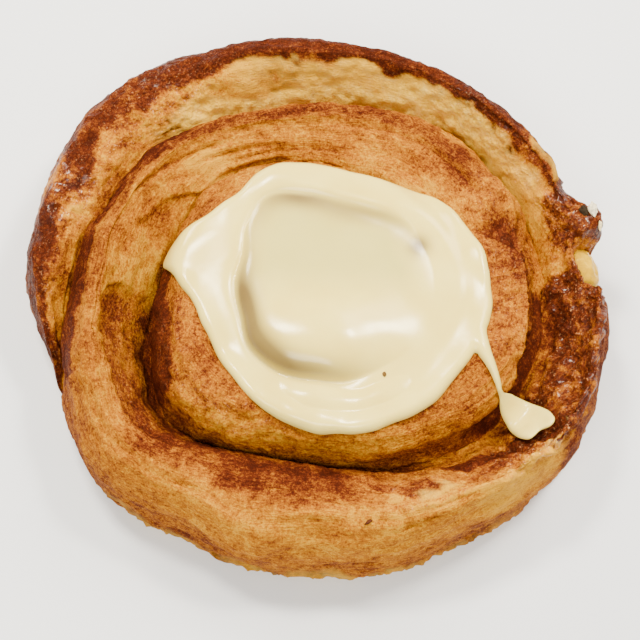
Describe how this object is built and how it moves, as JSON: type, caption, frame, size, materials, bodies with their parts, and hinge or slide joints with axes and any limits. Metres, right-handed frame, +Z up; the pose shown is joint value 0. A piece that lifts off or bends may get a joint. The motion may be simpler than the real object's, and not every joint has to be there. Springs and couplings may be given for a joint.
{
  "type": "danish pastry",
  "caption": "Coiled danish pastry swirl of browned laminated dough, iced over the middle, with custard showing where the outer turn has burst.",
  "frame": {"origin": "centre of the pastry's bounding box on the surface it rests on", "axes": "+Z up out of the iced top, -Y towards the viewer of the picture, +X to the viewer's right"},
  "size_m": [0.11, 0.1038, 0.0295],
  "materials": {
    "dough": "baked golden to dark brown crust, moist sheen",
    "icing": "creamy off-white set icing, glossy",
    "custard": "bright yellow set custard, moist"
  },
  "bodies": {
    "root": {"dough": "dough", "icing": "icing", "custard": "custard"}
  },
  "joints": []
}
